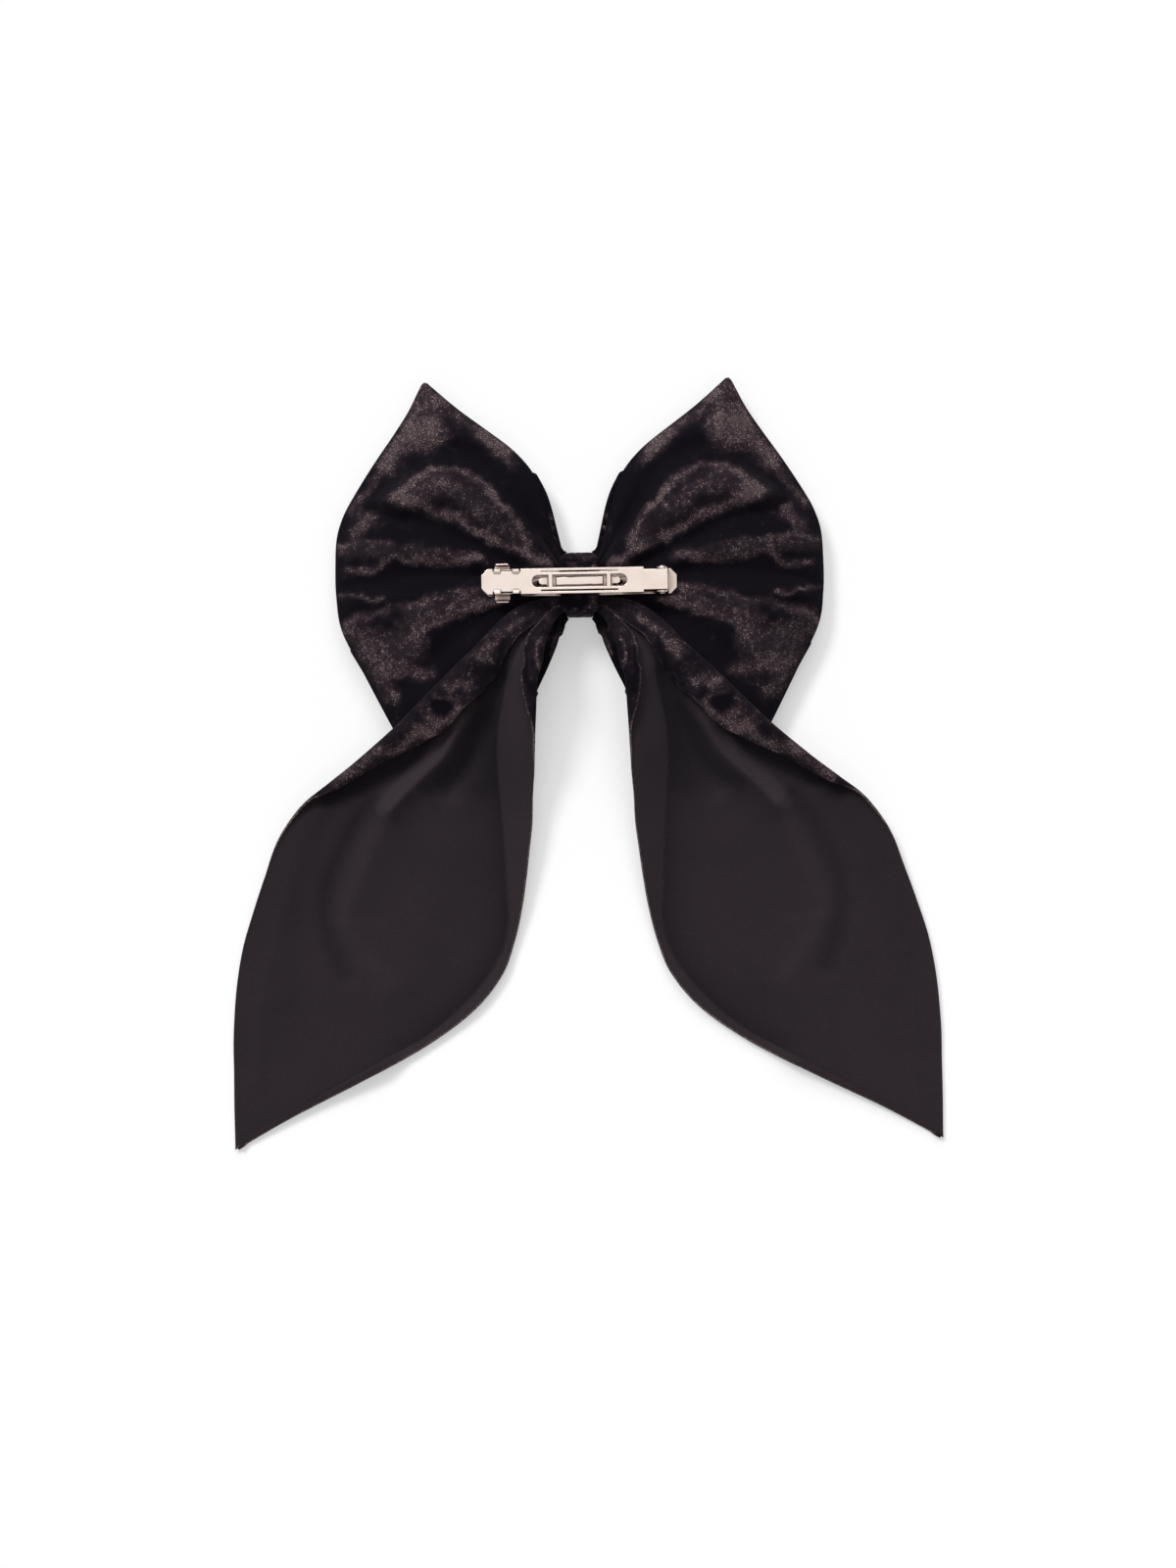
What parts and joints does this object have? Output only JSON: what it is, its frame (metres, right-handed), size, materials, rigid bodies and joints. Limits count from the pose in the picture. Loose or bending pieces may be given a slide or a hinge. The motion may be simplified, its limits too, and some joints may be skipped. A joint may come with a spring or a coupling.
{
  "type": "hair bow",
  "caption": "Long-tailed velvet hair bow: puffed loops, gathered centre wrap and pointed tails, on a sprung metal hair clip with a hinged arm and a pinch clasp.",
  "frame": {"origin": "on the surface the bow lies on face down, straight under the middle of the clip, on the centre wrap's flat front", "axes": "+X along the clip from the clasp to the hinge, +Y from the tails to the top of the loops, +Z from the velvet front to the clip at the back"},
  "size_m": [0.2206, 0.2403, 0.026],
  "materials": {
    "velvet": "crushed velvet, very dark plum, with lighter brushed patches",
    "velvet_tail": "crushed velvet on one side, plain matt weave on the other, raw cut edges",
    "interfacing": "stiff non-woven sheet",
    "thread": "dark sewing thread",
    "nickel": "polished nickel plate, slightly warm",
    "spring_steel": "nickel-plated spring steel"
  },
  "bodies": {
    "bow": {"bow_back_panel": "velvet", "bow_front_panel": "velvet", "bow_interfacing": "interfacing", "tail_right": "velvet_tail", "tail_left": "velvet_tail", "centre_wrap": "velvet", "binding_thread": "thread", "wrap_stitches": "thread", "base_plate": "nickel", "hinge_pin": "nickel", "clasp_floor": "spring_steel", "clasp_rivet": "nickel"},
    "arm": {"closing_arm": "nickel", "tension_spring": "spring_steel"},
    "upper_cheek": {"clasp_cheek_upper": "spring_steel"},
    "lower_cheek": {"clasp_cheek_lower": "spring_steel"}
  },
  "joints": [
    {"name": "arm_hinge", "type": "hinge", "parent": "bow", "child": "arm", "pos_m": [0.0256, 0, 0.02279], "axis": [0, 1, 0], "range_deg": [0, 100]},
    {"name": "upper_cheek_bend", "type": "hinge", "parent": "bow", "child": "upper_cheek", "pos_m": [-0.0225, 0.00335, 0.01905], "axis": [-1, 0, 0], "range_deg": [0, 9], "stiffness_Nm_per_rad": 0.0955},
    {"name": "lower_cheek_bend", "type": "hinge", "parent": "bow", "child": "lower_cheek", "pos_m": [-0.0225, -0.00335, 0.01905], "axis": [1, 0, 0], "range_deg": [0, 9], "stiffness_Nm_per_rad": 0.0955}
  ]
}
